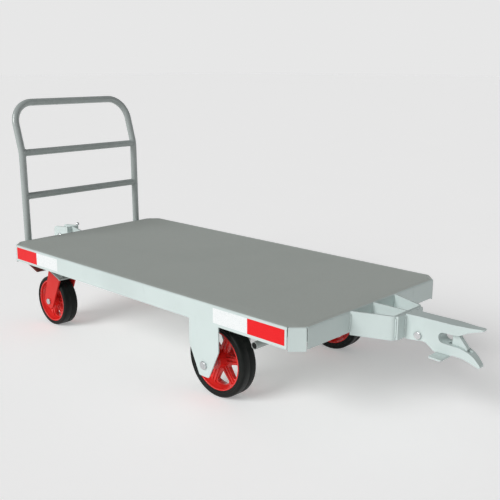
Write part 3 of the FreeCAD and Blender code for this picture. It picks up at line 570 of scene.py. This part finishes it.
def grip_bar(x, z, y0, y1):
    """Vertices and faces of a round bar along Y with domed ends."""
    quarter = [math.pi / 2 * i / GRIP_END_STEPS for i in range(1, GRIP_END_STEPS + 1)]
    ends = [(y0 + GRIP_R * (1 - math.cos(t)), math.sin(t)) for t in quarter]
    stations = ends + [(y0 + y1 - y, share) for y, share in reversed(ends)]
    turns = [math.tau * k / GRIP_SIDES for k in range(GRIP_SIDES)]
    verts = [(x + GRIP_R * share * math.cos(t), y, z + GRIP_R * share * math.sin(t))
             for y, share in stations for t in turns]
    return verts, strips(len(stations), GRIP_SIDES) + end_caps(len(stations), GRIP_SIDES)


def pedal_ribs(side):
    """Three raised grip bars across the sloping tread plate."""
    low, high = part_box("brake_pedal_" + side)
    slope = math.atan2(TREAD_RISE, TREAD_RUN)
    normal = Vector((math.sin(slope), 0, math.cos(slope)))
    inward = Vector((math.cos(slope), 0, -math.sin(slope)))
    corner = Vector((low.x, 0, joints["brake_%s_press" % side].z - TREAD_BELOW_PIVOT))
    edge = corner + normal * TREAD_PLATE
    places = [edge + inward * reach for reach in GRIP_REACHES]
    verts, faces = joined([grip_bar(at.x, at.z, low.y + GRIP_MARGIN, high.y - GRIP_MARGIN) for at in places])
    mesh_piece("pedal_ribs_" + side, verts, faces, shaded_pedal_red, "brake_" + side)


for side in ("left", "right"):
    fork_welds(side)
    pedal_ribs(side)


# ---------------------------------------------------------------- plugs in the open tube ends
PLUG_STEPS = 40
PLUG_R = 14.6 * MM
PLUG_HEAD = 2.0 * MM         # thickness of the head, which stands out of the tube
PLUG_DEPTH = 9 * MM
PLUG_LEAST_R = 0.05 * MM     # keeps the points on the axis apart
TIE_WALL = 2.1 * MM          # the tie tube's wall with a little play
TIE_PLUG_DEPTH = 10 * MM
TIE_PLUG_LEAST_R = 0.2 * MM


def tube_plug(name, foot, radius, body):
    """Plastic plug in the open end of a tube that points down."""
    profile = [(PLUG_LEAST_R, 0.0), (radius - 1.5 * MM, 0.0), (radius, 0.8 * MM), (radius, PLUG_HEAD),
               (radius - 2 * MM, PLUG_HEAD), (radius - 2.3 * MM, PLUG_DEPTH), (PLUG_LEAST_R, PLUG_DEPTH)]
    verts = []
    for i in range(PLUG_STEPS):
        t = math.tau * i / PLUG_STEPS
        verts += [foot + Vector((r * math.cos(t), r * math.sin(t), z - PLUG_HEAD)) for r, z in profile]
    n = len(profile)
    faces = strips(PLUG_STEPS, n, ends_meet=True, ring_closed=False)
    faces.append(tuple(i * n for i in range(PLUG_STEPS)))
    faces.append(tuple(i * n + n - 1 for i in reversed(range(PLUG_STEPS))))
    mesh_piece(name, verts, faces, mats["tyre"], body, smooth=False)


upright_x = centre("handle_bar_lower").x
for side, s in SIDES:
    tube_plug("tube_plug_" + side, Vector((upright_x, s * upright_y, hoop_low.z)), PLUG_R, "chassis")

tie_low, tie_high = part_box("tie_tube")
tie_middle = (tie_low + tie_high) / 2
tie_bore = (tie_high.z - tie_low.z) / 2 - TIE_WALL
tie_profile = [(TIE_PLUG_LEAST_R, -TIE_PLUG_DEPTH), (tie_bore, -TIE_PLUG_DEPTH), (tie_bore, -1.2 * MM),
               (tie_bore - 1.2 * MM, 0.0), (tie_bore - 4 * MM, -0.8 * MM), (TIE_PLUG_LEAST_R, -1.0 * MM)]
for side, s, end in (("left", 1, tie_high.y), ("right", -1, tie_low.y)):
    tie_end = Vector((tie_middle.x, end, tie_middle.z))
    revolve("tie_plug_" + side, [(r, s * y) for r, y in tie_profile], tie_end, PLUG_STEPS,
            mats["tyre"], "chassis")


# ---------------------------------------------------------------- stage, light and camera
FLOOR_HALF = 60.0
FLOOR_SHADES = (0.88, 0.88, 0.88), (0.90, 0.90, 0.90)
FLOOR_GLOW = 0.28            # light that the floor adds to what it reflects
HORIZON_LEVEL = 0.80         # up to where the upward part of a direction is HORIZON_TOP
SKY_LEVEL = 0.20             # from SKY_START on
HORIZON_TOP, SKY_START = 0.10, 0.20
KEY_FROM = (-0.12, -0.80, 0.48)          # direction from the cart to the light
KEY_LEVEL = 0.72
KEY_SPREAD = 35.0            # degrees
SENSOR = 36.0                # mm
VIEW_DEPTH = 200.0
LENS = 54.86                 # mm
CAMERA_HEADING = 133.436     # degrees from +X
CAMERA_DROP = 13.796         # degrees below level
CAMERA_AHEAD = 2.1205        # from the middle of the deck
CAMERA_RIGHT = 1.9917
CAMERA_ABOVE = 0.7477        # above the deck


def studio_floor():
    bm = bmesh.new()
    bmesh.ops.create_grid(bm, x_segments=1, y_segments=1, size=FLOOR_HALF)
    mesh = bpy.data.meshes.new("studio_floor")
    bm.to_mesh(mesh)
    bm.free()
    floor = bpy.data.objects.new("studio_floor", mesh)
    bpy.context.scene.collection.objects.link(floor)
    s = Shader("floor_paper", roughness=0.9, specular=0.1)
    s.colour(s.blend(s.noise(scale=1.5, detail=2.0), *FLOOR_SHADES))
    s.bsdf.inputs["Emission Color"].default_value = (1.0, 1.0, 1.0, 1.0)
    s.bsdf.inputs["Emission Strength"].default_value = FLOOR_GLOW
    mesh.materials.append(s.mat)


def sun(name, towards, strength, spread):
    light = bpy.data.lights.new(name, "SUN")
    light.energy = strength * math.pi
    light.angle = math.radians(spread)
    obj = bpy.data.objects.new(name, light)
    obj.rotation_euler = Vector(towards).to_track_quat("Z", "Y").to_euler()
    bpy.context.scene.collection.objects.link(obj)


def sky():
    """Soft light from all round: a bright band at the height of the floor's edge, dimmer overhead."""
    world = bpy.data.worlds.new("studio")
    world.use_nodes = True
    tree = world.node_tree
    background = tree.nodes["Background"]
    background.inputs["Color"].default_value = (1.0, 1.0, 1.0, 1.0)
    heights = tree.nodes.new("ShaderNodeSeparateXYZ")
    level = tree.nodes.new("ShaderNodeMapRange")
    limits = {"From Min": HORIZON_TOP, "From Max": SKY_START, "To Min": HORIZON_LEVEL, "To Max": SKY_LEVEL}
    for name, number in limits.items():
        level.inputs[name].default_value = number
    tree.links.new(tree.nodes.new("ShaderNodeTexCoord").outputs["Generated"], heights.inputs["Vector"])
    tree.links.new(heights.outputs["Z"], level.inputs["Value"])
    tree.links.new(level.outputs["Result"], background.inputs["Strength"])
    bpy.context.scene.world = world


def camera():
    """Standing off the front right corner of the deck, turned to the rear left and tipped down."""
    data = bpy.data.cameras.new("camera")
    data.lens = LENS
    data.sensor_width = SENSOR
    data.clip_end = VIEW_DEPTH
    obj = bpy.data.objects.new("camera", data)
    heading, drop = math.radians(CAMERA_HEADING), math.radians(CAMERA_DROP)
    look = Vector((math.cos(heading) * math.cos(drop), math.sin(heading) * math.cos(drop), -math.sin(drop)))
    deck_middle = centre("deck_sheet")
    obj.location = (deck_middle.x + CAMERA_AHEAD, deck_middle.y - CAMERA_RIGHT, deck_top + CAMERA_ABOVE)
    obj.rotation_euler = look.to_track_quat("-Z", "Y").to_euler()
    bpy.context.scene.collection.objects.link(obj)
    bpy.context.scene.camera = obj


studio_floor()
sky()
sun("key", KEY_FROM, KEY_LEVEL, KEY_SPREAD)
camera()
bpy.context.scene.view_settings.view_transform = "Standard"
